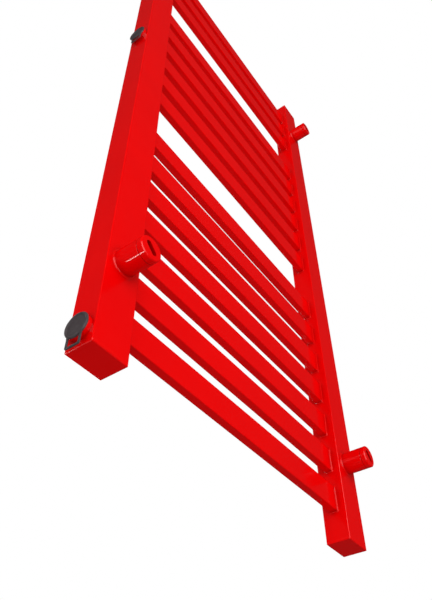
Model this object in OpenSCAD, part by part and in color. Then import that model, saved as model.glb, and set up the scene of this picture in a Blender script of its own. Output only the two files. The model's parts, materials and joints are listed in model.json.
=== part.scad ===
// Ladder towel radiator: two rectangular collectors, flat bars in three groups,
// four telescoping wall standoffs, side ports closed by pull-out plugs, and an air vent.
// Origin: centre of the four wall fixings, on the wall. +Z is up, -Y faces the room,
// +X is the side that carries the water ports.

/* [Overall] */
// Width across both collectors
width = 500; // [400:1:600]
// Height of the collectors
height = 1080; // [1070:1:1200]
// Distance from the wall to the back of the collectors
wall_gap = 35; // [30:1:60]

/* [Collectors] */
// Collector section, across the radiator
collector_w = 45; // [40:1:60]
// Collector section, front to back
collector_d = 33; // [30:1:45]
// Wall of the collector tube
collector_wall = 2; // [1.5:0.5:3]
// Outer corner radius of the collector tube
collector_r = 1; // [1:0.5:2]
// Thickness of the welded end plates
cap_t = 2.5; // [2:0.5:4]

/* [Bars] */
// Height of a bar
bar_h = 33.8; // [20:0.1:35]
// Depth of a bar, front to back
bar_d = 10.5; // [8:0.5:14]
// Wall of the bar tube
bar_wall = 1.5; // [1:0.5:2]
// Corner radius of a bar
bar_r = 1; // [0.5:0.5:2]
// Distance from one bar place to the next
bar_pitch = 56.9; // [50:0.1:57]

/* [Water side] */
// Height of the lowest port above the collector's bottom end
port_h = 20.5; // [18:0.5:30]
// Distance between the two ports
port_spacing = 600; // [500:50:600]
// Bore of a port: the core of a half-inch pipe thread
port_bore = 18.6; // [18:0.1:19]
// Outer diameter of a port's welded socket
socket_od = 27; // [25:1:28]
// Length of a port's welded socket inside the collector
socket_len = 15; // [12:1:20]
// How far a port's socket stands out from the collector
port_boss = 5; // [3:0.5:5]

/* [Plugs] */
// Diameter of the plug's head
plug_head_d = 27.8; // [24:0.2:29]
// Thickness of the plug's head
plug_head_t = 2; // [2:0.2:5]
// How far the head's face stands out from the collector
plug_proud = 7.2; // [6:0.2:10]
// Depth of the plug's spigot in the socket
plug_depth = 12; // [8:1:14]
// Width of the pull tab
tab_w = 17.4; // [14:0.2:20]
// Drop of the pull tab below the head
tab_drop = 10.8; // [8:0.2:14]

/* [Standoffs] */
// Height from a collector's end to the nearer standoff
standoff_h = 113.4; // [100:0.2:150]
// Outer diameter of a standoff
standoff_d = 29; // [24:1:30]
// Wall of the standoff's sleeve
sleeve_wall = 3; // [2:0.5:4]
// Thickness of the slotted wall disc
base_t = 7; // [5:0.5:10]
// Length of the wall disc's spigot in the sleeve
spigot_len = 20; // [16:1:24]
// Length of the slot for the wall screw
slot_l = 17.6; // [12:0.2:18]
// Width of the slot for the wall screw
slot_w = 7.2; // [6.2:0.1:8]
// Tilt of the slot from the horizontal
slot_tilt = 45; // [0:5:90]

/* [Hidden] */
$fn = 96;

FIT = 0.05;                  // radial clearance of a running fit
GAP = 0.3;                   // space between pieces that pass each other
CUT = 1;                     // a cut runs this far past the face that it opens

y_mid = -wall_gap - collector_d / 2;      // middle plane of collectors and bars
x_col = (width - collector_w) / 2;        // centre of a collector
x_in = width / 2 - collector_w;           // inner face of a collector
x_out = width / 2;                        // outer face of a collector
z_end = height / 2;                       // top end; the bottom end is at -z_end
tube_len = height - 2 * cap_t;

// Bars stand on an even ladder of 18 places, and two places are left free for towels.
PLACES = 18;
FREE = [7, 14];
bar_place = [for (i = [0 : PLACES - 1]) if (len([for (f = FREE) if (f == i) f]) == 0) i];
bar_stub = (height - (PLACES - 1) * bar_pitch - bar_h) / 2;
bar_len = 2 * (x_in + collector_wall);
function bar_z(place) = -z_end + bar_stub + bar_h / 2 + place * bar_pitch;

z_port_lower = -z_end + port_h;
z_port_upper = z_port_lower + port_spacing;
z_vent = z_end - port_h;
z_baffle = bar_z(FREE[0]);                // the baffle sits level with the lower free place

z_fix = z_end - standoff_h;
sleeve_bore = standoff_d - 2 * sleeve_wall;
spigot_d = sleeve_bore - 2 * FIT;
spigot_wall = 2.25;
spigot_bore = spigot_d - 2 * spigot_wall;
base_chamfer = 1;

screw_d = 5;                 // M5 set screw
screw_y = -12;               // its place, where it still bears on a disc that is drawn right out
hex_key = 2.5;               // across flats of its key socket
hex_depth = 1.7;

tab_t = 1.4;                 // thickness of the pull tab
tab_leg = 2.2;               // width of its legs
tab_grip = 2.2;              // height of its grip bar
tab_inset = 0.3;             // the tab's back lies this far in front of the head's back
lug_drop = 13.4;             // the head's two lugs end this far below its centre
lug_h = 6.6;                 // height of a lug, most of it inside the head
tab_top = lug_drop + GAP;    // the tab starts this far below the head's centre
plug_floor = 1.5;             // thickness of the floor that closes the spigot
plug_spigot_d = port_bore - 2 * FIT;         // over its ribs
plug_wall = 1.5;             // wall of the spigot between its ribs
rib_h = 0.5;
rib_w = 2;
rib_step = 5;
plug_head_chamfer = 0.8;
x_boss = x_out + port_boss;                  // outer face of a port's socket
x_head = x_out + plug_proud - plug_head_t;   // back of the plug's head
x_tab = x_head + tab_inset;                  // back of the pull tab
baffle_t = 2;

vent_head_d = 26;            // flanged head of the vent body
vent_head_t = 4;
vent_seal_t = 1.6;           // sealing ring under the head
vent_seal_d = 24;
vent_ring_d = 17;            // swivelling outlet
vent_ring_t = 6;
vent_stem_d = 9;             // stem that the outlet turns on
vent_lip_d = 10.6;           // lip that keeps the outlet on the stem
vent_lip_t = 1.2;
vent_screw_d = 5;
vent_screw_l = 9;
vent_drill = 3;              // water way behind the screw
vent_spout_d = 5;
vent_spout_bore = 2;
vent_spout_l = 6;            // half of the spout stands out of the ring
driver_slot_w = 1;           // slot in the bleed screw's face
driver_slot_depth = 1.2;
x_vent = x_out + vent_seal_t;                // back of the vent's head
x_ring = x_vent + vent_head_t + GAP;         // back of the outlet
x_stem = x_ring + vent_ring_t + GAP + vent_lip_t;   // end of the stem

red = "#e60000";

// ---------- shared shapes ----------

// Rectangle with round corners, made of plain squares and circles so that its arcs stay true
module round_rect(w, h, r) {
  square([w - 2 * r, h], center = true);
  square([w, h - 2 * r], center = true);
  for (sx = [-1, 1], sy = [-1, 1])
    translate([sx * (w / 2 - r), sy * (h / 2 - r)])
      circle(r, $fn = 32);
}

// Section of a flat bar, hollow or solid; x is its height and y its depth
module bar_section(hollow) {
  difference() {
    round_rect(bar_h, bar_d, bar_r);
    if (hollow)
      square([bar_h - 2 * bar_wall, bar_d - 2 * bar_wall], center = true);
  }
}

// Cylinder along X that starts at x and is l long
module x_rod(x, d, l, fn = 96) {
  translate([x, 0, 0])
    rotate([0, 90, 0])
      cylinder(d = d, h = l, $fn = fn);
}

// Cylinder along Y that starts at y and is l long
module y_rod(y, d, l, fn = 96) {
  translate([0, y, 0])
    rotate([-90, 0, 0])
      cylinder(d = d, h = l, $fn = fn);
}

// Slot outline with round ends
module slot(l, w) {
  square([l - w, w], center = true);
  for (s = [-1, 1])
    translate([s * (l - w) / 2, 0])
      circle(d = w, $fn = 48);
}

// ---------- welded frame ----------

// Collector: a tube with a slot for each bar end, and bores for the sockets on one side
module collector(side, ports) {
  color(red)
    difference() {
      translate([side * x_col, y_mid, -tube_len / 2])
        linear_extrude(tube_len)
          difference() {
            round_rect(collector_w, collector_d, collector_r);
            square([collector_w - 2 * collector_wall, collector_d - 2 * collector_wall], center = true);
          }
      for (p = bar_place)
        translate([side * (x_in - CUT), y_mid, bar_z(p)])
          rotate([0, side * 90, 0])
            linear_extrude(collector_wall + 2 * CUT)
              bar_section(false);
      for (z = ports)
        translate([0, y_mid, z])
          x_rod(x_out - collector_wall - CUT, socket_od, collector_wall + 2 * CUT);
    }
}

module collector_left() { collector(-1, []); }
module collector_right() { collector(1, [z_port_lower, z_port_upper, z_vent]); }

// End plate welded over a collector's open end
module end_plate(side, level) {
  color(red)
    translate([side * x_col, y_mid, level > 0 ? z_end - cap_t : -z_end])
      linear_extrude(cap_t)
        round_rect(collector_w, collector_d, collector_r);
}

// Flat bar: a hollow tube whose ends go through the collectors' inner walls
module bar(index) {
  color(red)
    translate([-bar_len / 2, y_mid, bar_z(bar_place[index])])
      rotate([0, 90, 0])
        linear_extrude(bar_len)
          bar_section(true);
}

// Baffle inside the port-side collector: it makes the water go through the bars
module flow_baffle() {
  color("silver")
    translate([x_col, y_mid, z_baffle - baffle_t / 2])
      linear_extrude(baffle_t)
        square([collector_w - 2 * collector_wall, collector_d - 2 * collector_wall], center = true);
}

// Threaded socket welded through the collector's outer wall: a port's stands out, the vent's is flush
module port_socket(z, boss) {
  color(red)
    translate([0, y_mid, z])
      difference() {
        x_rod(x_out - socket_len, socket_od, socket_len + boss);
        x_rod(x_out - socket_len - CUT, port_bore, socket_len + boss + 2 * CUT);
      }
}

// ---------- port plugs ----------

// Moulded plug: chamfered head with two lugs for its tab, and a hollow ribbed spigot
module port_plug(z) {
  color("#3c3638")
    translate([0, y_mid, z])
      difference() {
        union() {
          x_rod(x_head, plug_head_d, plug_head_t - plug_head_chamfer);
          translate([x_head + plug_head_t - plug_head_chamfer, 0, 0])
            rotate([0, 90, 0])
              cylinder(d1 = plug_head_d, d2 = plug_head_d - 2 * plug_head_chamfer, h = plug_head_chamfer);
          x_rod(x_boss - plug_depth, plug_spigot_d - 2 * rib_h, plug_depth + x_head - x_boss);
          for (i = [0 : 1])
            x_rod(x_boss - plug_depth + rib_w + i * rib_step, plug_spigot_d, rib_w);
          for (s = [-1, 1])
            translate([x_tab, s * (tab_w - tab_leg) / 2 - tab_leg / 2, -lug_drop])
              cube([tab_t, tab_leg, lug_h]);
        }
        x_rod(x_boss - plug_depth - CUT, plug_spigot_d - 2 * (rib_h + plug_wall),
              plug_depth + CUT - plug_floor);
      }
}

// Pull tab: a flat loop, open at the top, that hangs from the head's lugs on a bending hinge
module pull_tab(z) {
  color("#3c3638")
    translate([x_tab, y_mid, z - tab_top - tab_drop])
      rotate([90, 0, 90])
        linear_extrude(tab_t)
          difference() {
            translate([-tab_w / 2, 0])
              square([tab_w, tab_drop]);
            translate([-tab_w / 2 + tab_leg, tab_grip])
              square([tab_w - 2 * tab_leg, tab_drop]);
          }
}

// ---------- air vent ----------

// Vent body: threaded plug with a flanged head, a stem, and a seat for the bleed screw
module vent_body() {
  color("silver")
    translate([0, y_mid, z_vent])
      difference() {
        union() {
          x_rod(x_vent, vent_head_d, vent_head_t);
          x_rod(x_out - plug_depth, port_bore, plug_depth + vent_seal_t);
          x_rod(x_vent + vent_head_t, vent_stem_d, x_stem - x_vent - vent_head_t);
          x_rod(x_stem - vent_lip_t, vent_lip_d, vent_lip_t);
        }
        x_rod(x_stem - vent_screw_l, vent_screw_d + 2 * FIT, vent_screw_l + CUT);
        x_rod(x_out - plug_depth - CUT, vent_drill, x_stem - x_out + plug_depth);
        translate([x_ring + vent_ring_t / 2, 0, 0])
          cylinder(d = vent_spout_bore, h = vent_ring_d, center = true, $fn = 32);
      }
}

// Flat sealing ring between the vent's head and the collector
module vent_seal() {
  color("#202020")
    translate([0, y_mid, z_vent])
      difference() {
        x_rod(x_out, vent_seal_d, vent_seal_t);
        x_rod(x_out - CUT, port_bore, vent_seal_t + 2 * CUT);
      }
}

// Outlet ring that swivels on the stem, with a small spout
module vent_outlet() {
  color("white")
    translate([0, y_mid, z_vent])
      difference() {
        union() {
          x_rod(x_ring, vent_ring_d, vent_ring_t);
          translate([x_ring + vent_ring_t / 2, 0, -(vent_ring_d + vent_spout_l) / 2])
            cylinder(d = vent_spout_d, h = vent_spout_l, $fn = 48);
        }
        x_rod(x_ring - CUT, vent_stem_d + 2 * FIT, vent_ring_t + 2 * CUT);
        translate([x_ring + vent_ring_t / 2, 0, -vent_ring_d])
          cylinder(d = vent_spout_bore, h = vent_ring_d, $fn = 32);
      }
}

// Bleed screw with a driver slot in its face
module vent_screw() {
  color("goldenrod")
    translate([0, y_mid, z_vent])
      difference() {
        x_rod(x_stem - vent_screw_l, vent_screw_d, vent_screw_l);
        translate([x_stem - driver_slot_depth, -vent_screw_d, -driver_slot_w / 2])
          cube([driver_slot_depth + CUT, 2 * vent_screw_d, driver_slot_w]);
      }
}

// ---------- wall standoffs ----------

// Sleeve welded to the collector's back, with a tapped hole for its set screw
module sleeve(side, level) {
  color(red)
    translate([side * x_col, 0, level * z_fix])
      difference() {
        y_rod(-wall_gap, standoff_d, wall_gap - base_t - GAP);
        y_rod(-wall_gap - CUT, sleeve_bore, wall_gap + 2 * CUT);
        translate([0, screw_y, 0])
          cylinder(d = screw_d, h = standoff_d, $fn = 48);
      }
}

// Wall disc: chamfered disc with a slot for the wall screw, on a spigot that slides in the sleeve
module wall_disc(side, level) {
  color(red)
    translate([side * x_col, 0, level * z_fix])
      difference() {
        union() {
          y_rod(-base_t, standoff_d, base_t - base_chamfer);
          translate([0, -base_chamfer, 0])
            rotate([-90, 0, 0])
              cylinder(d1 = standoff_d, d2 = standoff_d - 2 * base_chamfer, h = base_chamfer);
          y_rod(-base_t - spigot_len, spigot_d, spigot_len);
        }
        y_rod(-base_t - spigot_len - CUT, spigot_bore, spigot_len + CUT);
        rotate([90, -slot_tilt, 0])
          translate([0, 0, -CUT])
            linear_extrude(base_t + 2 * CUT)
              slot(slot_l, slot_w);
      }
}

// Set screws: one on top of each sleeve, backed off so that the disc can slide
module set_screws() {
  color("#303030")
    for (side = [-1, 1], level = [-1, 1])
      translate([side * x_col, screw_y, level * z_fix + spigot_d / 2 + GAP])
        difference() {
          cylinder(d = screw_d, h = sleeve_wall - GAP, $fn = 48);
          translate([0, 0, sleeve_wall - GAP - hex_depth])
            cylinder(d = hex_key / cos(30), h = hex_depth + CUT, $fn = 6);
        }
}

collector_left();
collector_right();
end_plate(-1, -1);  // end_plate_bottom_left
end_plate(-1, 1);  // end_plate_top_left
end_plate(1, -1);  // end_plate_bottom_right
end_plate(1, 1);  // end_plate_top_right
bar(0);  // bar_01
bar(1);  // bar_02
bar(2);  // bar_03
bar(3);  // bar_04
bar(4);  // bar_05
bar(5);  // bar_06
bar(6);  // bar_07
bar(7);  // bar_08
bar(8);  // bar_09
bar(9);  // bar_10
bar(10);  // bar_11
bar(11);  // bar_12
bar(12);  // bar_13
bar(13);  // bar_14
bar(14);  // bar_15
bar(15);  // bar_16
flow_baffle();
port_socket(z_port_lower, port_boss);  // port_socket_lower
port_socket(z_port_upper, port_boss);  // port_socket_upper
port_socket(z_vent, 0);  // port_socket_vent
port_plug(z_port_lower);  // port_plug_lower
port_plug(z_port_upper);  // port_plug_upper
pull_tab(z_port_lower);  // pull_tab_lower
pull_tab(z_port_upper);  // pull_tab_upper
vent_body();
vent_seal();
vent_outlet();
vent_screw();
sleeve(-1, -1);  // sleeve_bottom_left
sleeve(1, -1);  // sleeve_bottom_right
sleeve(-1, 1);  // sleeve_top_left
sleeve(1, 1);  // sleeve_top_right
wall_disc(-1, -1);  // wall_disc_bottom_left
wall_disc(1, -1);  // wall_disc_bottom_right
wall_disc(-1, 1);  // wall_disc_top_left
wall_disc(1, 1);  // wall_disc_top_right
set_screws();
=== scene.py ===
# %% [markdown]
# # Ladder towel radiator
# A bathroom towel radiator is a welded steel ladder: two upright box-section tubes, called collectors,
# and flat bars between them, all full of warm water. This lesson dresses a finished CAD model. The CAD
# gives every size and every moving body. Here each part gets the edges, welds, threads and surface that
# a maker would see, while nothing is moved or resized.

# %% Load the frame
import json
import math

import bmesh
import bpy
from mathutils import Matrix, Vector
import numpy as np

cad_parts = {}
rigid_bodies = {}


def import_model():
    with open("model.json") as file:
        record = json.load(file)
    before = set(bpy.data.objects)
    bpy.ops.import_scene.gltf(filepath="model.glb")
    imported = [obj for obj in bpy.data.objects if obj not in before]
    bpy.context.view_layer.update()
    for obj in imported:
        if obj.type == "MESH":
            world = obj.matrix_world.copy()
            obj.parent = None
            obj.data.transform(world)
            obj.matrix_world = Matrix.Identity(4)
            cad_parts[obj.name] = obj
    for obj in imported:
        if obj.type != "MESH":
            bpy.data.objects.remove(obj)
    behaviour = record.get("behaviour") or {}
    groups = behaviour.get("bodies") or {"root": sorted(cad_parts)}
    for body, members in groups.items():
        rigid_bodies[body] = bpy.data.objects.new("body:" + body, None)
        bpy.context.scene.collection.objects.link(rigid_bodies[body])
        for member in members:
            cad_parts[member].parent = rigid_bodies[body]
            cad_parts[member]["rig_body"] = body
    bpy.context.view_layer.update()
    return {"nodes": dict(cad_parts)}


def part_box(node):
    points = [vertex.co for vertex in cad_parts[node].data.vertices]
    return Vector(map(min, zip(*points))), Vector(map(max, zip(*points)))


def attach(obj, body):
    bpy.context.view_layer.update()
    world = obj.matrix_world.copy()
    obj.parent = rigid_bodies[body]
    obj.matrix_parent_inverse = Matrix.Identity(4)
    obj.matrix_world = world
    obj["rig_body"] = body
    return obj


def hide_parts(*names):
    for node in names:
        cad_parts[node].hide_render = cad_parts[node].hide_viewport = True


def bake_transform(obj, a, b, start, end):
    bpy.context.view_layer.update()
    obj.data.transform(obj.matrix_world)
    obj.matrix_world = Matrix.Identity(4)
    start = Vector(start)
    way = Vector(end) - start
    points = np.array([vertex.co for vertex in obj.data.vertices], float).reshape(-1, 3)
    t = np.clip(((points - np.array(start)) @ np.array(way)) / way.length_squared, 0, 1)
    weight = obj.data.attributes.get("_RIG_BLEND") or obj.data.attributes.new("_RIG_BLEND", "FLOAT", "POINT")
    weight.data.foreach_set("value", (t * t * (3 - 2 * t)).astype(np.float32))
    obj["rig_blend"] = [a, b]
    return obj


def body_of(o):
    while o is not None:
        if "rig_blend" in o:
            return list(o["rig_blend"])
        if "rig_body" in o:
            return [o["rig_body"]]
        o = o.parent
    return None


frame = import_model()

MM = 0.001                   # the CAD is drawn in millimetres, and Blender works in metres

# %% [markdown]
# ## Camera
# The viewer stands behind the radiator, low down and to the side of the water ports, and looks up at 45
# degrees. So the camera sees the backs of the bars, the outer side of the port-side collector, and every
# underside. It is placed by a point and a direction, with no roll.

# %% Camera
EYE = Vector((0.5134, 0.2829, -0.8938))
HEADING, PITCH = math.radians(-126.0), math.radians(45.0)   # from +Y towards +X, and above the horizon
SENSOR, LENS = 36.0, 38.72

camera_data = bpy.data.cameras.new("camera")
camera_data.sensor_width = SENSOR
camera_data.lens = LENS
camera = bpy.data.objects.new("camera", camera_data)
bpy.context.scene.collection.objects.link(camera)
look = Vector((math.sin(HEADING) * math.cos(PITCH), math.cos(HEADING) * math.cos(PITCH), math.sin(PITCH)))
camera.location = EYE
camera.rotation_euler = look.to_track_quat("-Z", "Y").to_euler()
bpy.context.scene.camera = camera
print("camera looks along", [round(c, 3) for c in look])

# %% [markdown]
# ## Colours and nodes
# Paint makers and designers write colours as sRGB hex codes, but a render adds light in linear numbers.
# One function turns the first into the second. A second small function adds a shader node with its
# settings and its links, so that each material below reads as a short list of nodes.

# %% Helpers for colours and nodes
def colour(code):
    """Linear RGBA of an sRGB hex code such as #e60000."""
    parts = [int(code[i:i + 2], 16) / 255 for i in (1, 3, 5)]
    linear = [c / 12.92 if c <= 0.04045 else ((c + 0.055) / 1.055) ** 2.4 for c in parts]
    return (*linear, 1.0)


def add(tree, kind, settings=None, links=None):
    """Adds a node. settings are its sockets or options, and links lead from another node's output."""
    node = tree.nodes.new(kind)
    for key, value in (settings or {}).items():
        if isinstance(key, str) and hasattr(node, key):
            setattr(node, key, value)
        else:
            node.inputs[key].default_value = value
    for key, source in (links or {}).items():
        tree.links.new(source, node.inputs[key])
    return node


def start_material(name, base, roughness, metallic=0.0, ior=1.5):
    """A new material with its uniform numbers on the shader; it returns the tree, shader and coordinates."""
    material = bpy.data.materials.new(name)
    material.use_nodes = True
    tree = material.node_tree
    shader = tree.nodes["Principled BSDF"]
    shader.inputs["Base Color"].default_value = colour(base)
    shader.inputs["Roughness"].default_value = roughness
    shader.inputs["Metallic"].default_value = metallic
    if not metallic:
        shader.inputs["IOR"].default_value = ior
    place = add(tree, "ShaderNodeTexCoord").outputs["Object"]
    return material, tree, shader, place


def per(size_mm):
    """Texture scale that gives features of this size."""
    return 1 / (size_mm * MM)


print("signal red in linear light:", [round(c, 3) for c in colour("#e60000")])

# %% [markdown]
# ## Light and backdrop
# A plain pale floor lies well below the radiator, and a white surround stands for the studio. The surround
# gives more light from the port side and the back than from the other side, so that neighbouring faces
# differ. Mirror reflections see it almost black, because a white room would turn gloss red paint pink.
# For the same reason the floor is left out of the light that reaches the radiator.

# %% World and floor
BRIGHT_SIDE = (0.85, 0.5, -0.15)             # the surround is brighter towards the port side and the back
DIM_LEVEL, BRIGHT_LEVEL, MIRRORED_LEVEL = 0.24, 0.76, 0.03
scene = bpy.context.scene
scene.view_settings.view_transform = "Standard"

world = bpy.data.worlds.new("studio_surround")
world.use_nodes = True
scene.world = world
sky = world.node_tree
sky.nodes.clear()
rays = add(sky, "ShaderNodeLightPath")
towards = add(sky, "ShaderNodeTexCoord").outputs["Generated"]
lean = add(sky, "ShaderNodeVectorMath", {"operation": "DOT_PRODUCT", 1: BRIGHT_SIDE}, {0: towards})
level = add(sky, "ShaderNodeMapRange", {"From Min": -1.0, "From Max": 1.0, "To Min": DIM_LEVEL,
                                             "To Max": BRIGHT_LEVEL}, {"Value": lean.outputs["Value"]})
fill = add(sky, "ShaderNodeBackground", {"Color": colour("#ffffff")}, {"Strength": level.outputs[0]})
mirrored = add(sky, "ShaderNodeBackground", {"Color": colour("#ffffff"), "Strength": MIRRORED_LEVEL})
white = add(sky, "ShaderNodeBackground", {"Color": colour("#ffffff"), "Strength": 1.0})
unlit = add(sky, "ShaderNodeMixShader",
            links={0: rays.outputs["Is Glossy Ray"], 1: fill.outputs[0], 2: mirrored.outputs[0]})
surround = add(sky, "ShaderNodeMixShader",
               links={0: rays.outputs["Is Camera Ray"], 1: unlit.outputs[0], 2: white.outputs[0]})
add(sky, "ShaderNodeOutputWorld", links={"Surface": surround.outputs[0]})

FLOOR_Z, FLOOR_HALF, FLOOR_GLOW = -2.05, 6.0, 0.35          # the first two are in metres
floor_mesh = bpy.data.meshes.new("floor")
floor_corners = [(x * FLOOR_HALF, y * FLOOR_HALF, FLOOR_Z) for x, y in ((-1, -1), (1, -1), (1, 1), (-1, 1))]
floor_mesh.from_pydata(floor_corners, [], [(0, 1, 2, 3)])
floor = bpy.data.objects.new("floor", floor_mesh)
scene.collection.objects.link(floor)
floor.visible_diffuse = floor.visible_glossy = False
floor_finish, tree, shader, place = start_material("matt_floor_paint", "#e9e7e3", 0.8)
speckle = add(tree, "ShaderNodeTexNoise", {"Scale": per(30), "Detail": 4.0}, {"Vector": place})
tint = add(tree, "ShaderNodeMix", {"data_type": "RGBA", 6: colour("#e6e4e0"), 7: colour("#ecebe8")},
           {0: speckle.outputs["Fac"]})
tree.links.new(tint.outputs[2], shader.inputs["Base Color"])
tree.links.new(tint.outputs[2], shader.inputs["Emission Color"])
shader.inputs["Emission Strength"].default_value = FLOOR_GLOW
floor_mesh.materials.append(floor_finish)
print("floor at", FLOOR_Z, "m, below the camera at", round(EYE.z, 2), "m")

# %% [markdown]
# ## Lamps
# Three large soft boxes stand behind the radiator, beside its port-side collector, and in front. Each gives
# one side its own even brightness. Two small lamps stand low in front: one draws a thin bright line along
# a round standoff, the other lights the ground edge of an end plate. Gloss paint mirrors a small lamp to
# one place only, so each is aimed at its own piece. The lamps don't show to the camera, so other views
# stay clean.

# %% Lamps
def lamp(name, direction, distance, size, power, aim=(0, 0, 0)):
    """Square area lamp at a distance from aim, in a direction, that faces back to it; metres and watts."""
    data = bpy.data.lights.new(name, "AREA")
    data.shape = "SQUARE"
    data.size = size
    data.energy = power
    box = bpy.data.objects.new(name, data)
    scene.collection.objects.link(box)
    way = Vector(direction).normalized()
    box.location = Vector(aim) + way * distance
    box.rotation_euler = way.to_track_quat("Z", "Y").to_euler()
    box.visible_camera = False


lamp("soft_box_back", (0.36, 0.93, -0.02), 2.6, 2.8, 56)
lamp("soft_box_side", (0.95, 0.1, -0.1), 2.2, 1.6, 9)
lamp("soft_box_front", (-0.15, -0.85, 0.5), 2.4, 2.0, 30)
fix_low, fix_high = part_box("sleeve_bottom_right")
lamp("line_lamp", (0.54, -0.485, -0.69), 1.6, 0.11, 0.8, aim=(fix_low + fix_high) / 2)
foot_low, foot_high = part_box("end_plate_bottom_right")
lamp("edge_lamp", (0.519, -0.66, -0.56), 1.5, 0.12, 0.4, aim=(foot_high.x, foot_low.y, foot_low.z))

# %% [markdown]
# ## Gloss powder coat
# The steel is sprayed with dry polyester powder and baked. The powder flows into a glossy skin, about 80
# micrometres thick, that never gets quite flat: it keeps a soft ripple called orange peel, a few
# millimetres from crest to crest. The skin draws back a little from sharp edges, and the edges are drawn
# lighter, partly for that thinner coat and partly as a painted highlight. Inside corners, which see mostly
# other red faces, are drawn darker red as painted shade. Two noises bend the surface for the peel. The
# Bevel node compares the true normal with a rounded one, which finds the edges on any mesh, and the
# Ambient Occlusion node finds the corners.

# %% Gloss powder coat
# EDGE is the width of the lighter edge band: thinner coat and painted highlight.
PEEL, RIPPLE, EDGE = 2.6, 9.0, 0.8          # mm: orange peel, slow ripple, and width of a thin edge
PEEL_DEPTH, RIPPLE_DEPTH = 0.006, 0.02      # mm
# How far the painted corner shade reaches from a corner, in mm:
CORNER_SHADE_REACH = 14.0                         # mm: how far the coat's deeper colour reaches from a corner


def powder_coat():
    material, tree, shader, place = start_material("gloss_powder_coat_on_steel", "#e60000", 0.12)
    cloud = add(tree, "ShaderNodeTexNoise", {"Scale": per(70), "Detail": 3.0}, {"Vector": place})
    body = add(tree, "ShaderNodeMix", {"data_type": "RGBA", 6: colour("#df0002"), 7: colour("#ec0000")},
               {0: cloud.outputs["Fac"]})
    # Sharp edges are drawn a lighter red: partly the thinner coat, partly a painted highlight.
    rounded_normal = add(tree, "ShaderNodeBevel", {"samples": 4, "Radius": EDGE * MM})
    true_normal = add(tree, "ShaderNodeNewGeometry").outputs["Normal"]
    agree = add(tree, "ShaderNodeVectorMath", {"operation": "DOT_PRODUCT"},
                {0: rounded_normal.outputs[0], 1: true_normal})
    thin_coat_and_highlight = add(tree, "ShaderNodeMapRange", {"From Min": 0.99, "From Max": 0.8, "To Max": 0.35},
               {"Value": agree.outputs["Value"]})
    skin = add(tree, "ShaderNodeMix", {"data_type": "RGBA", 7: colour("#ff1a10")},
               {0: thin_coat_and_highlight.outputs[0], 6: body.outputs[2]})
    # Inside corners are drawn a darker red: painted shade, found with the Ambient Occlusion node.
    corner = add(tree, "ShaderNodeAmbientOcclusion", {"samples": 6, "Distance": CORNER_SHADE_REACH * MM})
    corner_shade_share = add(tree, "ShaderNodeMapRange", {"From Min": 0.85, "From Max": 0.25, "To Max": 0.75},
               {"Value": corner.outputs["AO"]})
    painted_corner_shade = add(tree, "ShaderNodeMix", {"data_type": "RGBA", 7: colour("#7a0000")},
                 {0: corner_shade_share.outputs[0], 6: skin.outputs[2]})
    tree.links.new(painted_corner_shade.outputs[2], shader.inputs["Base Color"])
    smear = add(tree, "ShaderNodeTexNoise", {"Scale": per(25), "Detail": 5.0}, {"Vector": place})
    gloss = add(tree, "ShaderNodeMapRange", {"To Min": 0.08, "To Max": 0.15}, {"Value": smear.outputs["Fac"]})
    tree.links.new(gloss.outputs[0], shader.inputs["Roughness"])
    peel = add(tree, "ShaderNodeTexNoise", {"Scale": per(PEEL), "Detail": 1.0}, {"Vector": place})
    ripple = add(tree, "ShaderNodeTexNoise", {"Scale": per(RIPPLE), "Detail": 0.0}, {"Vector": place})
    slow = add(tree, "ShaderNodeBump", {"Distance": RIPPLE_DEPTH * MM}, {"Height": ripple.outputs["Fac"]})
    fine = add(tree, "ShaderNodeBump", {"Distance": PEEL_DEPTH * MM},
               {"Height": peel.outputs["Fac"], "Normal": slow.outputs[0]})
    tree.links.new(fine.outputs[0], shader.inputs["Normal"])
    return material


red_coat = powder_coat()
print("coat:", red_coat.name)

# %% [markdown]
# ## Moulded polyethylene
# Shipping plugs are injection moulded from soft polyethylene. The mould is spark eroded, which leaves a
# fine matt grain, and handling adds faint pale scuffs. Real grain is about 0.1 mm: it is drawn at 0.5 mm,
# so that it shows.

# %% Moulded polyethylene
def moulded(name, base, pale, roughness, grain, depth):
    material, tree, shader, place = start_material(name, base, roughness, ior=1.51)
    scuff = add(tree, "ShaderNodeTexNoise", {"Scale": per(6), "Detail": 6.0, "Roughness": 0.7},
                {"Vector": place})
    share = add(tree, "ShaderNodeMapRange", {"From Min": 0.5, "From Max": 0.8, "To Max": 0.5},
                {"Value": scuff.outputs["Fac"]})
    skin = add(tree, "ShaderNodeMix", {"data_type": "RGBA", 6: colour(base), 7: colour(pale)},
               {0: share.outputs[0]})
    tree.links.new(skin.outputs[2], shader.inputs["Base Color"])
    spark = add(tree, "ShaderNodeTexVoronoi", {"Scale": per(grain)}, {"Vector": place})
    bump = add(tree, "ShaderNodeBump", {"Distance": depth * MM}, {"Height": spark.outputs["Distance"]})
    tree.links.new(bump.outputs[0], shader.inputs["Normal"])
    return material


plug_plastic = moulded("moulded_grey_polyethylene", "#433b3d", "#6d6567", 0.42, 0.5, 0.02)
white_abs = moulded("moulded_white_abs", "#efeee9", "#e2e0d8", 0.32, 0.4, 0.01)
seal_rubber = moulded("pressed_nitrile_rubber", "#1b1b1c", "#333334", 0.6, 0.7, 0.03)
print("moulded:", plug_plastic.name, white_abs.name, seal_rubber.name)

# %% [markdown]
# ## Metals
# Chrome plate is mirror bright, with hair-fine polishing lines. Brass for the bleed screw is turned, so its
# face carries rings around the axis. A set screw is steel with a black oxide skin, thin and slightly
# patchy. Threads and the inner baffle are bare steel, which is duller and has tool or rolling marks. All
# metals keep the shader's own IOR, and differ in colour, roughness and marks.

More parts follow.
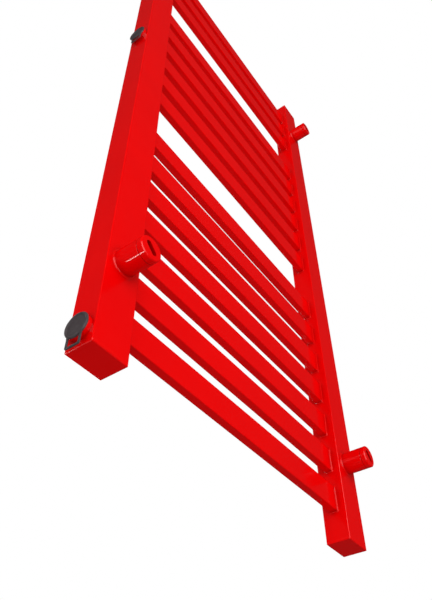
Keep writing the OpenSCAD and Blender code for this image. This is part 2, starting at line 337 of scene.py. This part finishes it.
# %% Metals
def metal(name, base, dull, roughness, spread, mark, stretch, depth):
    """Metal with marks that are mark mm wide and stretched along X, Y or Z by the given factors."""
    material, tree, shader, place = start_material(name, base, roughness, metallic=1.0)
    along = add(tree, "ShaderNodeMapping", {"Scale": stretch}, {"Vector": place})
    lines = add(tree, "ShaderNodeTexNoise", {"Scale": per(mark), "Detail": 4.0}, {"Vector": along.outputs[0]})
    patch = add(tree, "ShaderNodeTexNoise", {"Scale": per(5), "Detail": 5.0}, {"Vector": place})
    skin = add(tree, "ShaderNodeMix", {"data_type": "RGBA", 6: colour(base), 7: colour(dull)},
               {0: patch.outputs["Fac"]})
    tree.links.new(skin.outputs[2], shader.inputs["Base Color"])
    gloss = add(tree, "ShaderNodeMapRange", {"To Min": roughness - spread, "To Max": roughness + spread},
                {"Value": lines.outputs["Fac"]})
    tree.links.new(gloss.outputs[0], shader.inputs["Roughness"])
    bump = add(tree, "ShaderNodeBump", {"Distance": depth * MM}, {"Height": lines.outputs["Fac"]})
    tree.links.new(bump.outputs[0], shader.inputs["Normal"])
    return material


chrome = metal("polished_chrome_plate", "#dcdcdd", "#cfd0d2", 0.09, 0.04, 0.6, (1.0, 1.0, 0.1), 0.002)
brass = metal("turned_brass", "#d3ad5c", "#b98f42", 0.25, 0.08, 0.5, (1.0, 0.1, 0.1), 0.01)
oxide = metal("black_oxide_steel", "#2b2c2e", "#3d3a38", 0.42, 0.1, 0.6, (1.0, 1.0, 1.0), 0.01)
bare_steel = metal("bare_rolled_steel", "#9a9894", "#80796f", 0.38, 0.1, 0.4, (0.1, 1.0, 1.0), 0.008)
print("metals:", chrome.name, brass.name, oxide.name, bare_steel.name)

# %% [markdown]
# ## Shapes from outlines
# Nearly everything here is either drawn out along a line, such as a tube, or turned on a lathe. So a few
# helpers do it all: one rounds the corners of an outline, one joins rings of points into a skin, and one
# spins a profile round an axis. Real edges are never knife sharp, and it is the small roundings that catch
# the light.

# %% Outline and skin helpers
def rounded(corners, steps=4):
    """Outline through corners (a, b, radius), each radius drawn as an arc."""
    outline = []
    for i, (a, b, radius) in enumerate(corners):
        corner = Vector((a, b))
        if not radius:
            outline.append(tuple(corner))
            continue
        before = (Vector(corners[i - 1][:2]) - corner).normalized()
        after = (Vector(corners[(i + 1) % len(corners)][:2]) - corner).normalized()
        half_angle = before.angle(after) / 2
        centre = corner + (before + after).normalized() * radius / math.sin(half_angle)
        reach = radius / math.tan(half_angle)
        first, last = corner + before * reach - centre, corner + after * reach - centre
        begin = math.atan2(first.y, first.x)
        sweep = (math.atan2(last.y, last.x) - begin + math.pi) % (2 * math.pi) - math.pi
        for s in range(steps + 1):
            angle = begin + sweep * s / steps
            outline.append((centre.x + radius * math.cos(angle), centre.y + radius * math.sin(angle)))
    return outline


def rectangle(w, h, radius, steps=4):
    """Rounded rectangle about the origin, in the sizes given."""
    half_w, half_h = w / 2, h / 2
    return rounded([(half_w, half_h, radius), (-half_w, half_h, radius),
                    (-half_w, -half_h, radius), (half_w, -half_h, radius)], steps)


def skin(bm, rings, closed=False):
    """Joins rings of points. A ring of one point is a pole. closed joins the last ring to the first."""
    rows = [[bm.verts.new(p) for p in ring] for ring in rings]
    pairs = list(zip(rows, rows[1:]))
    if closed:
        pairs.append((rows[-1], rows[0]))
    for a, b in pairs:
        count = max(len(a), len(b))
        for i in range(count):
            k = (i + 1) % count
            face = [a[i % len(a)], a[k % len(a)], b[k % len(b)], b[i % len(b)]]
            bm.faces.new(list(dict.fromkeys(face)))
    if not closed:
        for row in (rows[0], rows[-1]):
            if len(row) > 1:
                bm.faces.new(row)


def spin(bm, profile, place, steps=64, closed=True):
    """Turns a profile of (along, radius) points; place puts (along, u, v) in the frame."""
    rings = []
    for along, radius in profile:
        turns = [2 * math.pi * i / steps for i in range(steps)] if radius else [0]
        rings.append([place(along, radius * math.cos(t), radius * math.sin(t)) for t in turns])
    skin(bm, rings, closed and all(radius for along, radius in profile))


def along_x(x, y, z):
    """Place for parts turned about an X axis through (y, z), measured from x."""
    return lambda along, u, v: (x + along * MM, y + u * MM, z + v * MM)


def along_y(x, y, z):
    """Place for parts turned about a Y axis through (x, z), measured from y."""
    return lambda along, u, v: (x + u * MM, y + along * MM, z + v * MM)


def along_z(x, y, z):
    """Place for parts turned about a Z axis through (x, y), measured from z."""
    return lambda along, u, v: (x + u * MM, y + v * MM, z + along * MM)


print("rounded square has", len(rectangle(10, 10, 1)), "points")

# %% [markdown]
# ## From skin to piece
# A skin becomes a piece in the same steps each time: holes are cut with Boolean modifiers, sharp edges are
# broken with a Bevel modifier, and shading is smooth except across real edges. Then the piece takes its
# material if it has none yet, rides on the body of the CAD nodes it stands for, and those nodes are hidden.

# %% Piece helpers
def evaluated(obj):
    """The object's mesh with its modifiers applied."""
    graph = bpy.context.evaluated_depsgraph_get()
    return bpy.data.meshes.new_from_object(obj.evaluated_get(graph))


def solid(name, bm):
    """An object from a bmesh, with its faces turned outwards."""
    bmesh.ops.remove_doubles(bm, verts=bm.verts, dist=1e-7)
    bmesh.ops.recalc_face_normals(bm, faces=bm.faces)
    mesh = bpy.data.meshes.new(name)
    bm.to_mesh(mesh)
    bm.free()
    obj = bpy.data.objects.new(name, mesh)
    scene.collection.objects.link(obj)
    return obj


def combine(obj, others, operation="DIFFERENCE"):
    """Cuts or joins other solids into obj, and removes them."""
    for other in others:
        step = obj.modifiers.new("combine", "BOOLEAN")
        step.operation, step.solver, step.object = operation, "EXACT", other
    obj.data = evaluated(obj)
    obj.modifiers.clear()
    for other in others:
        bpy.data.objects.remove(other)


def finish_piece(obj, nodes, material, break_edge=0.0, steps=2, sharp=35):
    """Breaks sharp edges by break_edge mm, shades the piece, puts it on its CAD nodes' body and hides the
    nodes.
    """
    if break_edge:
        edge = obj.modifiers.new("broken_edges", "BEVEL")
        edge.width, edge.segments = break_edge * MM, steps
        edge.limit_method, edge.angle_limit = "ANGLE", math.radians(sharp)
        edge.use_clamp_overlap = True
        edge.miter_outer = "MITER_ARC"
        obj.data = evaluated(obj)
        obj.modifiers.clear()
    if not obj.data.materials:
        obj.data.materials.append(material)
    obj.data.shade_smooth()
    obj.data.set_sharp_from_angle(angle=math.radians(sharp))
    flats = obj.modifiers.new("flat_faces_stay_flat", "WEIGHTED_NORMAL")
    flats.keep_sharp = True
    body = body_of(frame["nodes"][nodes[0]])[0]
    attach(obj, body)
    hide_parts(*nodes)
    print(f"{obj.name}: {len(obj.data.polygons)} faces, rides on {body}")
    return obj


def box_of(node):
    """Lowest corner, highest corner and centre of a CAD node."""
    low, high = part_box(node)
    return Vector(low), Vector(high), (Vector(low) + Vector(high)) / 2


print("axis of the port-side collector:", [round(c, 4) for c in box_of("collector_right")[2]])

# %% [markdown]
# ## Collectors
# Each collector is a box-section steel tube, 45 by 33 mm with a 2 mm wall. It comes from a rolling mill,
# so its long corners are small even radii. An outline is drawn out along Z, once for the outside and once
# for the bore, and the ends are joined to make a true hollow tube. On the port side, three round holes
# take the welded sockets.

# %% Collectors
TUBE_WALL, TUBE_CORNER = 2.0, 1.0
SIDES = ("left", "right")
PORTS = ("port_socket_lower", "port_socket_upper", "port_socket_vent")


def rings_z(low, high, outline, heights):
    """The same outline at several heights, about the middle of a box."""
    middle = (low + high) / 2
    return [[(middle.x + a * MM, middle.y + b * MM, z) for a, b in outline] for z in heights]


for side in SIDES:
    low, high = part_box(f"collector_{side}")
    w, d = (high.x - low.x) / MM, (high.y - low.y) / MM
    outside = rectangle(w, d, TUBE_CORNER, 6)
    inside = rectangle(w - 2 * TUBE_WALL, d - 2 * TUBE_WALL, TUBE_CORNER / 3, 6)
    bm = bmesh.new()
    skin(bm, rings_z(low, high, outside, (low.z, high.z)) + rings_z(low, high, inside, (high.z, low.z)),
         closed=True)
    tube = solid(f"collector_tube_{side}", bm)
    holes = []
    for port in PORTS if side == "right" else ():
        start, end, mid = box_of(port)
        bm = bmesh.new()
        radius = (end.z - start.z) / 2 / MM
        spin(bm, [(-TUBE_WALL * 2, 0), (-TUBE_WALL * 2, radius), (TUBE_WALL, radius), (TUBE_WALL, 0)],
             along_x(high.x, mid.y, mid.z), 96)
        holes.append(solid("hole", bm))
    if holes:
        combine(tube, holes)
    finish_piece(tube, [f"collector_{side}"], red_coat, 0.12, 2, 50)

# %% [markdown]
# ## End plates
# A steel plate closes each end of a collector. It is welded all round, ground flush, and painted with the
# rest, so only a hairline shows. The grinder leaves a narrow slanting flat along its outer edge, and that
# flat gives the bright line at the foot of the radiator. A Bevel modifier would make an even 45 degree
# edge, so the rings follow the ground edge's own profile instead.

# %% End plates
GROUND_EDGE = ((0.0, 0.68), (0.04, 0.6), (0.7, 0.06), (0.8, 0.0))   # mm: in from the side, and from the end


def plate_rings(low, high, w, d, out):
    """Rings from the welded face to the ground outer edge; out is 1 for the top and -1 for the bottom."""
    inner, outer = (low.z, high.z) if out > 0 else (high.z, low.z)
    rings = rings_z(low, high, rectangle(w, d, TUBE_CORNER, 6), (inner,))
    for inset, rise in GROUND_EDGE:
        outline = rectangle(w - 2 * inset, d - 2 * inset, TUBE_CORNER - inset, 6)
        rings += rings_z(low, high, outline, (outer - out * rise * MM,))
    return rings


for side in SIDES:
    for level, out in (("bottom", -1), ("top", 1)):
        node = f"end_plate_{level}_{side}"
        low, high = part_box(node)
        bm = bmesh.new()
        skin(bm, plate_rings(low, high, (high.x - low.x) / MM, (high.y - low.y) / MM, out))
        finish_piece(solid(f"ground_plate_{level}_{side}", bm), [node], red_coat)

# %% [markdown]
# ## Bars
# The bars are flat box-section tubes whose ends go through the collectors' inner walls and are welded
# there. A weld leaves a small hollow fillet, and powder fills it to one smooth curve. So each bar is one
# long ring skin, outside and bore, that flares by a quarter circle where it meets a collector.

# %% Bars
BAR_WALL, BAR_CORNER, FILLET, FILLET_STEPS = 1.5, 1.0, 1.3, 5
BARS = sorted(node for node in frame["nodes"] if node.startswith("bar_"))
inner_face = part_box("collector_right")[0].x


def flare(out_mm):
    """How far a weld fillet stands out from the bar, out_mm away from the collector."""
    return FILLET - math.sqrt(FILLET ** 2 - (FILLET - out_mm) ** 2)


def bar_rings(low, high):
    """Rings along a bar's outside from -X to +X, then back along its bore."""
    h, d = (high.z - low.z) / MM, (high.y - low.y) / MM
    mid = (low + high) / 2

    def ring(x, grow, corner):
        return [(x, mid.y + a * MM, mid.z + b * MM) for a, b in rectangle(d + 2 * grow, h + 2 * grow, corner)]

    out_mm = [FILLET * step / FILLET_STEPS for step in range(FILLET_STEPS + 1)]
    sunk = inner_face + TUBE_WALL / 20 * MM          # the fillet starts just under the collector's skin
    weld = [(sunk, 0.0), (sunk, FILLET)] + [(inner_face - out * MM, flare(out)) for out in out_mm]
    half_bar = [(high.x, 0.0)] + weld
    outer = [ring(-x, g, BAR_CORNER + g) for x, g in half_bar]
    outer += [ring(x, g, BAR_CORNER + g) for x, g in reversed(half_bar)]
    bore = [ring(x, -BAR_WALL, BAR_CORNER / 4) for x in (high.x, low.x)]
    return outer + bore


for node in BARS:
    low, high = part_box(node)
    bm = bmesh.new()
    skin(bm, bar_rings(low, high), closed=True)
    finish_piece(solid(node.replace("bar_", "flat_bar_"), bm), [node], red_coat)

# %% [markdown]
# ## Wall standoffs
# Each standoff is two pieces: a sleeve welded to the collector's back, and a slotted disc on a spigot that
# slides in the sleeve to set the distance from the wall. Both are turned on a lathe, so each is a profile
# spun round a Y axis. The sleeve flares into its weld. The tapped hole for the set screw and the slot for
# the wall screw are cut afterwards.

# %% Sleeves and wall discs
SLEEVE_WALL, SLEEVE_WELD, WELD_STEPS = 3.0, 1.6, 6
DISC_T, TAP_R = 7.0, 2.5                     # thickness of the disc's rim, and the set screw's hole
SPIGOT, SPIGOT_BORE = 22.9, 18.4             # diameters, mm
SLOT_L, SLOT_W, SLOT_TILT = 17.6, 7.2, 45.0
PLACES = [(level, side) for level in ("bottom", "top") for side in SIDES]


def sleeve_profile(length, radius):
    """Closed profile from the weld at 0 to the free end; the sleeve's bore closes it."""
    weld = [(-0.1, radius + SLEEVE_WELD)]
    for step in range(WELD_STEPS + 1):
        out = SLEEVE_WELD * step / WELD_STEPS
        weld.append((out, radius + SLEEVE_WELD - math.sqrt(SLEEVE_WELD ** 2 - (SLEEVE_WELD - out) ** 2)))
    free = rounded([(0, radius, 0), (length, radius, 0.5), (length, radius - SLEEVE_WALL, 0.4),
                    (0, radius - SLEEVE_WALL, 0)], 3)[1:]
    return weld + free + [(-0.1, radius - SLEEVE_WALL)]


def disc_profile(spigot_end, thick, radius):
    """Closed profile of a wall disc: rounded rim, 1 mm chamfer at the wall, and the hollow spigot."""
    return rounded([(thick, 0, 0), (thick, radius - 1.0, 0.4), (thick - 1.0, radius, 0.4), (0, radius, 0.4),
                    (0, SPIGOT / 2, 0.2), (spigot_end, SPIGOT / 2, 0.5), (spigot_end, SPIGOT_BORE / 2, 0.3),
                    (0, SPIGOT_BORE / 2, 0.5), (0, 0, 0)], 3)


def slot_cutter(centre, wall_y, depth):
    """A bar with the slot's outline, right through a disc of that depth."""
    bm = bmesh.new()
    outline = rectangle(SLOT_L, SLOT_W, SLOT_W / 2 - 0.001, 12)
    turn = math.radians(SLOT_TILT)
    rings = []
    for y in (wall_y - depth * 2, wall_y + depth):
        rings.append([(centre.x + (a * math.cos(turn) - b * math.sin(turn)) * MM, y,
                       centre.z + (a * math.sin(turn) + b * math.cos(turn)) * MM) for a, b in outline])
    skin(bm, rings)
    return solid("slot", bm)


tap_y = box_of("set_screws")[2].y
for level, side in PLACES:
    low, high, mid = box_of(f"sleeve_{level}_{side}")
    bm = bmesh.new()
    spin(bm, sleeve_profile((high.y - low.y) / MM, (high.x - low.x) / 2 / MM), along_y(mid.x, low.y, mid.z))
    sleeve = solid(f"turned_sleeve_{level}_{side}", bm)
    bm = bmesh.new()
    spin(bm, [(0, 0), (0, TAP_R), (20, TAP_R), (20, 0)], along_z(mid.x, tap_y, mid.z), 32)
    combine(sleeve, [solid("tapped_hole", bm)])
    finish_piece(sleeve, [f"sleeve_{level}_{side}"], red_coat)

    node = f"wall_disc_{level}_{side}"
    low, high, mid = box_of(node)
    rim = high.y - DISC_T * MM
    bm = bmesh.new()
    spin(bm, disc_profile((low.y - rim) / MM, (high.y - rim) / MM, (high.x - low.x) / 2 / MM),
         along_y(mid.x, rim, mid.z))
    disc = solid(f"slotted_disc_{level}_{side}", bm)
    combine(disc, [slot_cutter(mid, high.y, 10 * MM)])
    finish_piece(disc, [node], red_coat, 0.3, 2, 50)

# %% [markdown]
# ## Threaded sockets
# A half-inch pipe socket has 14 threads to the inch, so its pitch is 1.814 mm, and its core is 18.6 mm
# across. The thread isn't a stack of rings. Its depth depends on how far along and how far round a point
# is, so one grid of points gives a true helix. The two water ports' sockets stand out 5 mm as round bosses,
# and the vent's ends level with the tube. All are painted with the collector, but the threads were masked,
# so they are bare steel.

# %% Threaded sockets
PITCH, CORE_R, THREAD_DEPTH, PER_TURN = 1.814, 9.3, 0.95, 8


def thread_height(turns):
    """Share of the thread's depth at a number of turns: flanks with a rounded crest and root."""
    wave = abs(2 * (turns % 1) - 1)
    return wave * wave * (3 - 2 * wave)


def threaded_bore(place, length, steps=64):
    """Rings of a right-hand thread cut outwards from the core, from length back to 0."""
    count = int(length / PITCH * PER_TURN)
    rings = []
    for k in range(count + 1):
        along = length * (1 - k / count)
        fade = min(1, along / PITCH, (length - along) / PITCH)
        ring = []
        for i in range(steps):
            angle = 2 * math.pi * i / steps
            cut_in = CORE_R + THREAD_DEPTH * fade * thread_height(along / PITCH - i / steps)
            ring.append(place(along, cut_in * math.cos(angle), cut_in * math.sin(angle)))
        rings.append(ring)
    return rings


def circle(place, along, radius, steps=64):
    """One ring of points round the axis."""
    turns = [2 * math.pi * i / steps for i in range(steps)]
    return [place(along, radius * math.cos(t), radius * math.sin(t)) for t in turns]


for port in PORTS:
    low, high, mid = box_of(port)
    length, radius = (high.x - low.x) / MM, (high.z - low.z) / 2 / MM
    place = along_x(low.x, mid.y, mid.z)
    bm = bmesh.new()
    rim = [circle(place, length - 0.25, radius), circle(place, length - 0.07, radius - 0.07),
           circle(place, length, radius - 0.25), circle(place, length, CORE_R + 0.6)]
    skin(bm, [circle(place, 0, radius)] + rim + threaded_bore(place, length - 0.6), closed=True)
    socket = solid(port.replace("port_socket", "threaded_socket"), bm)
    socket.data.materials.append(red_coat)
    socket.data.materials.append(bare_steel)
    for face in socket.data.polygons:
        off = Vector((face.center.y - mid.y, face.center.z - mid.z)).length / MM
        face.material_index = 1 if off < CORE_R + THREAD_DEPTH else 0
    finish_piece(socket, [port], red_coat)

# %% [markdown]
# ## Port plugs
# A soft plastic plug keeps dirt out of each open port. Its thin dished head covers the socket's boss, its
# hollow spigot has two sealing ribs, and two lugs under the head carry the pull tab. Head and spigot are
# one spun profile, because a mould for them would be turned, and the lugs are joined on with a Boolean.

# %% Port plugs
SPIGOT_R, RIB, PLUG_BORE_R = 8.75, 0.5, 7.25
HEAD_T, DISH, PROUD, BOSS, PLUG_DEPTH, PLUG_FLOOR = 2.0, 0.8, 7.2, 5.0, 12.0, 1.5
TAB_W, TAB_LEG, TAB_T, LUG_DROP, LUG_H = 17.4, 2.2, 1.4, 13.4, 3.0
LEVELS = ("lower", "upper")


def plug_profile(radius):
    """Closed profile along X, measured from the collector's face: dished head, then the ribbed spigot."""
    back, tip = PROUD - HEAD_T, BOSS - PLUG_DEPTH
    ribs = []
    for foot in (tip + 7, tip + 2):
        ribs += [(foot + 2, SPIGOT_R, 0.1), (foot + 2, SPIGOT_R + RIB, 0.2), (foot, SPIGOT_R + RIB, 0.2),
                 (foot, SPIGOT_R, 0.1)]
    return rounded([
        (PROUD - DISH, 0, 0), (PROUD - DISH, radius - 2.7, 0.3), (PROUD, radius - 1.8, 0.3),
        (PROUD, radius - 0.7, 0.3), (PROUD - 0.7, radius, 0.3), (back, radius, 0.4), (back, SPIGOT_R, 0.1)]
        + ribs + [(tip, SPIGOT_R, 0.6), (tip, PLUG_BORE_R, 0.4), (BOSS - PLUG_FLOOR, PLUG_BORE_R, 0.8),
                  (BOSS - PLUG_FLOOR, 0, 0)], 3)


def upright_plate(outline, x, y, z, thick):
    """Solid with an outline in the YZ plane, drawn out along X."""
    bm = bmesh.new()
    skin(bm, [[(x + out * MM, y + a * MM, z + b * MM) for a, b in outline] for out in (0, thick)])
    return solid("plate", bm)


for level in LEVELS:
    low, high, mid = box_of(f"port_plug_{level}")
    radius = (high.y - low.y) / 2 / MM
    face_x, centre_z = high.x - PROUD * MM, high.z - radius * MM
    tab_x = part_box(f"pull_tab_{level}")[0].x
    bm = bmesh.new()
    spin(bm, plug_profile(radius), along_x(face_x, mid.y, centre_z), 96)
    plug = solid(f"moulded_plug_{level}", bm)
    lugs = []
    for way in (-1, 1):
        near, far = way * (TAB_W / 2 - TAB_LEG), way * TAB_W / 2
        outline = [(near, LUG_H - LUG_DROP), (near, -LUG_DROP), (far, -LUG_DROP), (far, LUG_H - LUG_DROP)]
        lugs.append(upright_plate(outline, tab_x, mid.y, centre_z, TAB_T))
    combine(plug, lugs, "UNION")
    finish_piece(plug, [f"port_plug_{level}"], plug_plastic, 0.2, 2, 60)

# %% [markdown]
# ## Pull tabs and their thin hinges
# The tab is a flat loop, 1.4 mm thick, that hangs from the lugs and is bent up to be gripped. It is an
# outline with round corners, drawn out to its thickness, with every edge rounded as a moulding's are. It
# bends at two living hinges, where the same plastic is only 0.4 mm thick. Each hinge is a short web of many
# rings, so that it can curve smoothly between the plug and the tab while both ends stay joined.

# %% Pull tabs and their thin hinges
TAB_GRIP, HINGE_T, HINGE_RINGS = 2.2, 0.4, 12
HINGE_UP, HINGE_DOWN, HINGE_SKIN = 0.6, 0.3, 0.08     # mm: into the lug, into the tab, and under its face


def tab_outline(drop):
    """Loop, open at the top: round outer corners at the grip and small ones inside."""
    w, leg = TAB_W / 2, TAB_W / 2 - TAB_LEG
    return rounded([(w, 0, 0.3), (leg, 0, 0.3), (leg, TAB_GRIP - drop, 0.9), (-leg, TAB_GRIP - drop, 0.9),
                    (-leg, 0, 0.3), (-w, 0, 0.3), (-w, -drop, 1.6), (w, -drop, 1.6)], 4)


for level in LEVELS:
    low, high, mid = box_of(f"pull_tab_{level}")
    tab = upright_plate(tab_outline((high.z - low.z) / MM), low.x, mid.y, high.z, (high.x - low.x) / MM)
    tab.name = f"moulded_tab_{level}"
    finish_piece(tab, [f"pull_tab_{level}"], plug_plastic, 0.35, 3, 50)
    for way, hand in ((-1, "left"), (1, "right")):
        bm = bmesh.new()
        centre_y = mid.y + way * (TAB_W - TAB_LEG) / 2 * MM
        top, bottom = high.z + HINGE_UP * MM, high.z - HINGE_DOWN * MM
        rings = []
        for step in range(HINGE_RINGS + 1):
            z = top + (bottom - top) * step / HINGE_RINGS
            rings.append([(high.x - (HINGE_T / 2 + HINGE_SKIN - a) * MM, centre_y + b * MM, z)
                          for a, b in rectangle(HINGE_T, TAB_LEG - 0.8, 0.15)])
        skin(bm, rings)
        web = solid(f"hinge_web_{level}_{hand}", bm)
        web.data.materials.append(plug_plastic)
        web.data.shade_smooth()
        web.data.set_sharp_from_angle(angle=math.radians(50))
        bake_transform(web, f"{level}_plug", f"{level}_tab", start=(high.x, centre_y, high.z + 0.3 * MM),
                 end=(high.x, centre_y, high.z))
        print(web.name, "bends between the plug and its tab")

# %% [markdown]
# ## Air vent
# Air gathers at the top of a radiator and is let out by hand. The vent has a chrome-plated body with a
# round flange, and a rubber ring under the flange. Both could be plain spun profiles, but the flange has
# fine flutes, because fingers or pliers have to grip it. So the body is a stack of rings of points, and
# those round the flange dip in at each flute.

# %% Vent body and sealing ring
VENT_R, VENT_T, SEAL_T = 13.0, 4.0, 1.6
STEM_R, LIP_R, LIP_T, SCREW_R, SCREW_L = 4.5, 5.3, 1.2, 2.5, 9.0
FLUTES, FLUTE_DEPTH = 48, 0.35
WAY_R, WAY_BACK, CORE_CHAMFER = 1.0, 3.3, 0.5

vent_high, vent_mid = box_of("vent_body")[1:]
collector_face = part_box("collector_right")[1].x
vent_end = (vent_high.x - collector_face) / MM    # end of the stem, from the collector's face
vent_face = SEAL_T + VENT_T                       # outer face of the flange
at_vent = along_x(collector_face, vent_mid.y, vent_mid.z)
screw_hole = SCREW_R + 0.05


def fluted(place, along, radius, depth):
    """Ring of points with shallow grip flutes."""
    ring = []
    for i in range(FLUTES * 4):
        angle = 2 * math.pi * i / (FLUTES * 4)
        dip = depth * (0.5 - 0.5 * math.cos(angle * FLUTES))
        ring.append(place(along, (radius - dip) * math.cos(angle), (radius - dip) * math.sin(angle)))
    return ring


stem = rounded([(vent_face, STEM_R, 0.3), (vent_end - LIP_T, STEM_R, 0.2), (vent_end - LIP_T, LIP_R, 0.2),
                (vent_end, LIP_R, 0.4), (vent_end, screw_hole, 0.2), (vent_end - SCREW_L, screw_hole, 0)], 3)
FACE_DISH = 0.4                                   # mm: the flange's face is turned in round the stem
stem = [(a, r) for a, r in stem if a > vent_face - FACE_DISH]
flange = [(SEAL_T, VENT_R - 0.5, 0), (SEAL_T + 0.5, VENT_R, 1), (vent_face - 1.0, VENT_R, 1),
          (vent_face - 0.3, VENT_R - 0.6, 0.3), (vent_face, VENT_R - 1.3, 0),
          (vent_face, VENT_R - 4.0, 0), (vent_face - FACE_DISH, VENT_R - 4.5, 0),
          (vent_face - FACE_DISH, STEM_R + 0.6, 0)]   # along, radius, share of the flutes' depth
count = FLUTES * 4
bm = bmesh.new()
neck = [(-PLUG_DEPTH, 0.01), (-PLUG_DEPTH, CORE_R - CORE_CHAMFER), (-PLUG_DEPTH + CORE_CHAMFER, CORE_R),
        (SEAL_T, CORE_R)]
rings = [circle(at_vent, along, radius, count) for along, radius in neck]
rings += [fluted(at_vent, along, radius, FLUTE_DEPTH * share) for along, radius, share in flange]
rings += [circle(at_vent, along, radius, count) for along, radius in stem]
rings += [circle(at_vent, vent_end - SCREW_L, 0.01, count)]
skin(bm, rings)
vent = solid("plated_vent_body", bm)
bm = bmesh.new()
spin(bm, [(-20, 0), (-20, WAY_R), (20, WAY_R), (20, 0)],
     along_z(collector_face + (vent_end - LIP_T - WAY_BACK) * MM, vent_mid.y, vent_mid.z), 24)
combine(vent, [solid("water_way", bm)])
finish_piece(vent, ["vent_body"], chrome)

low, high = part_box("vent_seal")
seal_r = (high.z - low.z) / 2 / MM
bm = bmesh.new()
seal_profile = rounded([(0, CORE_R, 0.4), (0, seal_r, 0.7), (SEAL_T, seal_r, 0.7), (SEAL_T, CORE_R, 0.4)], 5)
spin(bm, seal_profile, at_vent)
finish_piece(solid("pressed_seal_ring", bm), ["vent_seal"], seal_rubber)

# %% [markdown]
# ## Swivelling outlet
# A white plastic ring turns on the vent's stem, so that its small spout can point at a cup. Its ring is
# turned round the vent's axis and the spout round its own, so they are two spun profiles, joined. The
# spout's bore is cut last, through both.

# %% Swivelling outlet
SPOUT_R, SPOUT_BORE, SPOUT_ROOT, RUNNING_GAP = 2.5, 1.0, 6.5, 0.05
low, high, mid = box_of("vent_outlet")
ring_t, ring_r = (high.x - low.x) / MM, (high.y - low.y) / 2 / MM
at_ring = along_x(low.x, vent_mid.y, vent_mid.z)
bore = STEM_R + RUNNING_GAP
bm = bmesh.new()
ring_profile = rounded([(0, bore, 0.3), (0, ring_r, 0.8), (ring_t, ring_r, 0.8), (ring_t, bore, 0.3)], 4)
spin(bm, ring_profile, at_ring, 72)
outlet = solid("moulded_swivel_outlet", bm)
spout_drop = (vent_mid.z - low.z) / MM
at_spout = along_z(mid.x, vent_mid.y, vent_mid.z)
bm = bmesh.new()
spin(bm, rounded([(-SPOUT_ROOT, 0, 0), (-SPOUT_ROOT, SPOUT_R, 0), (-spout_drop + 1, SPOUT_R, 0.8),
                  (-spout_drop, SPOUT_R - 0.5, 0.4), (-spout_drop, 0, 0)], 3), at_spout, 36)
combine(outlet, [solid("spout", bm)], "UNION")
bm = bmesh.new()
spin(bm, [(-5, 0), (-5, SPOUT_BORE), (-15, SPOUT_BORE), (-15, 0)], at_spout, 24)
combine(outlet, [solid("spout_bore", bm)])
finish_piece(outlet, ["vent_outlet"], white_abs, 0.2, 2, 60)

# %% [markdown]
# ## Bleed screw
# A brass screw in the middle of the vent opens the way for the air. It has a cone at its inner end, which
# seats in the body, and a slot for a screwdriver. A lathe makes all but the slot, so it is a spun profile
# with one cut.

# %% Bleed screw
DRIVER_W, DRIVER_DEPTH = 1.0, 1.2
low, high, mid = box_of("vent_screw")
screw_r = (high.y - low.y) / 2 / MM
screw_l = (high.x - low.x) / MM
at_screw = along_x(low.x, mid.y, mid.z)
bm = bmesh.new()
spin(bm, rounded([(0, 0, 0), (0, 0.9, 0), (2, screw_r, 0.3), (screw_l, screw_r, 0.35), (screw_l, 0, 0)], 3),
     at_screw, 48)
bleed = solid("turned_bleed_screw", bm)
w = DRIVER_W / 2
driver = upright_plate([(-5, -w), (5, -w), (5, w), (-5, w)], high.x - DRIVER_DEPTH * MM, mid.y, mid.z, 3)
combine(bleed, [driver])
finish_piece(bleed, ["vent_screw"], brass, 0.1, 2, 50)

# %% [markdown]
# ## Set screws
# A small headless screw in the top of each sleeve locks the wall disc. It has an M5 thread of 0.8 mm pitch
# and a hexagon socket for a 2.5 mm key. The thread is a grid like the socket's, but cut inwards from the
# outside. The CAD keeps the four screws in one node, so they are one piece here too.

# %% Set screws
SCREW_PITCH, SCREW_THREAD, KEY, KEY_DEPTH = 0.8, 0.35, 2.5, 1.7
SCREW_RINGS, RUN_OUT, POINT = 28, 0.4, 0.7   # rings along a screw, and mm of thread run-out and of point
SPIGOT_GAP = 0.3                             # mm between the screw's foot and the disc's spigot


def set_screw(x, y, z, length, radius):
    """One headless screw that points down from z + length."""
    place = along_z(x, y, z)
    steps = 32
    rings = [circle(place, 0, radius - POINT, steps)]
    for k in range(SCREW_RINGS + 1):
        along = length * k / SCREW_RINGS
        fade = min(1, along / RUN_OUT, (length - along) / RUN_OUT)
        ring = []
        for i in range(steps):
            angle = 2 * math.pi * i / steps
            depth = SCREW_THREAD * (fade * thread_height(along / SCREW_PITCH - i / steps) + 1 - fade)
            ring.append(place(along, (radius - depth) * math.cos(angle), (radius - depth) * math.sin(angle)))
        rings.append(ring)
    bm = bmesh.new()
    skin(bm, rings)
    screw = solid("screw", bm)
    bm = bmesh.new()
    spin(bm, [(length - KEY_DEPTH, 0), (length - KEY_DEPTH, KEY / math.sqrt(3)),
              (length + 1, KEY / math.sqrt(3)), (length + 1, 0)], place, 6)
    combine(screw, [solid("key_socket", bm)])
    return screw


low, high, mid = box_of("set_screws")
screw_d = (high.y - low.y) / MM
screws = []
for level, side in PLACES:
    sleeve_high, sleeve_mid = box_of(f"sleeve_{level}_{side}")[1:]
    foot = sleeve_mid.z + (SPIGOT / 2 + SPIGOT_GAP) * MM
    screws.append(set_screw(sleeve_mid.x, mid.y, foot, (sleeve_high.z - foot) / MM, screw_d / 2))
combine(screws[0], screws[1:], "UNION")
screws[0].name = "headless_set_screws"
finish_piece(screws[0], ["set_screws"], oxide)

# %% [markdown]
# ## Flow baffle
# A plain steel plate inside the port-side collector turns the water through the bars. It is sealed in and
# never seen, so it keeps its CAD shape and takes the bare steel finish.

# %% Flow baffle
baffle = frame["nodes"]["flow_baffle"]
baffle.data.materials.clear()
baffle.data.materials.append(bare_steel)
print("baffle finish:", baffle.data.materials[0].name)
